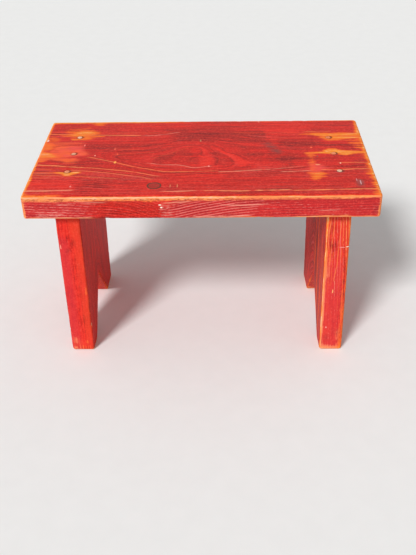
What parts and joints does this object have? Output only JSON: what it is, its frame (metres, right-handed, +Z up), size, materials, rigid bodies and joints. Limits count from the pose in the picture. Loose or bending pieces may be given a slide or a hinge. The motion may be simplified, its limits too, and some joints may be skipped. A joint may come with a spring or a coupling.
{
  "type": "bucket bench",
  "caption": "Low plank bench on slab legs with V-notched feet, nailed down through its round-edged seat; worn red stain over bare wood. For sitting on or standing things on.",
  "frame": {"origin": "on the floor under the middle of the seat", "axes": "+X along the seat to the right, +Y from the seat's front edge to its back edge, +Z up"},
  "size_m": [0.55, 0.286, 0.314],
  "materials": {
    "red_wood": "thin red stain or paint, satin, worn through to orange bare softwood on the edges, feet and round the nails",
    "nail_steel": "dull weathered steel nail heads with traces of red"
  },
  "bodies": {
    "root": {"top_plank": "red_wood", "left_leg": "red_wood", "right_leg": "red_wood", "nail_left_front": "nail_steel", "nail_left_middle": "nail_steel", "nail_left_back": "nail_steel", "nail_right_front": "nail_steel", "nail_right_middle": "nail_steel", "nail_right_back": "nail_steel"}
  },
  "joints": []
}
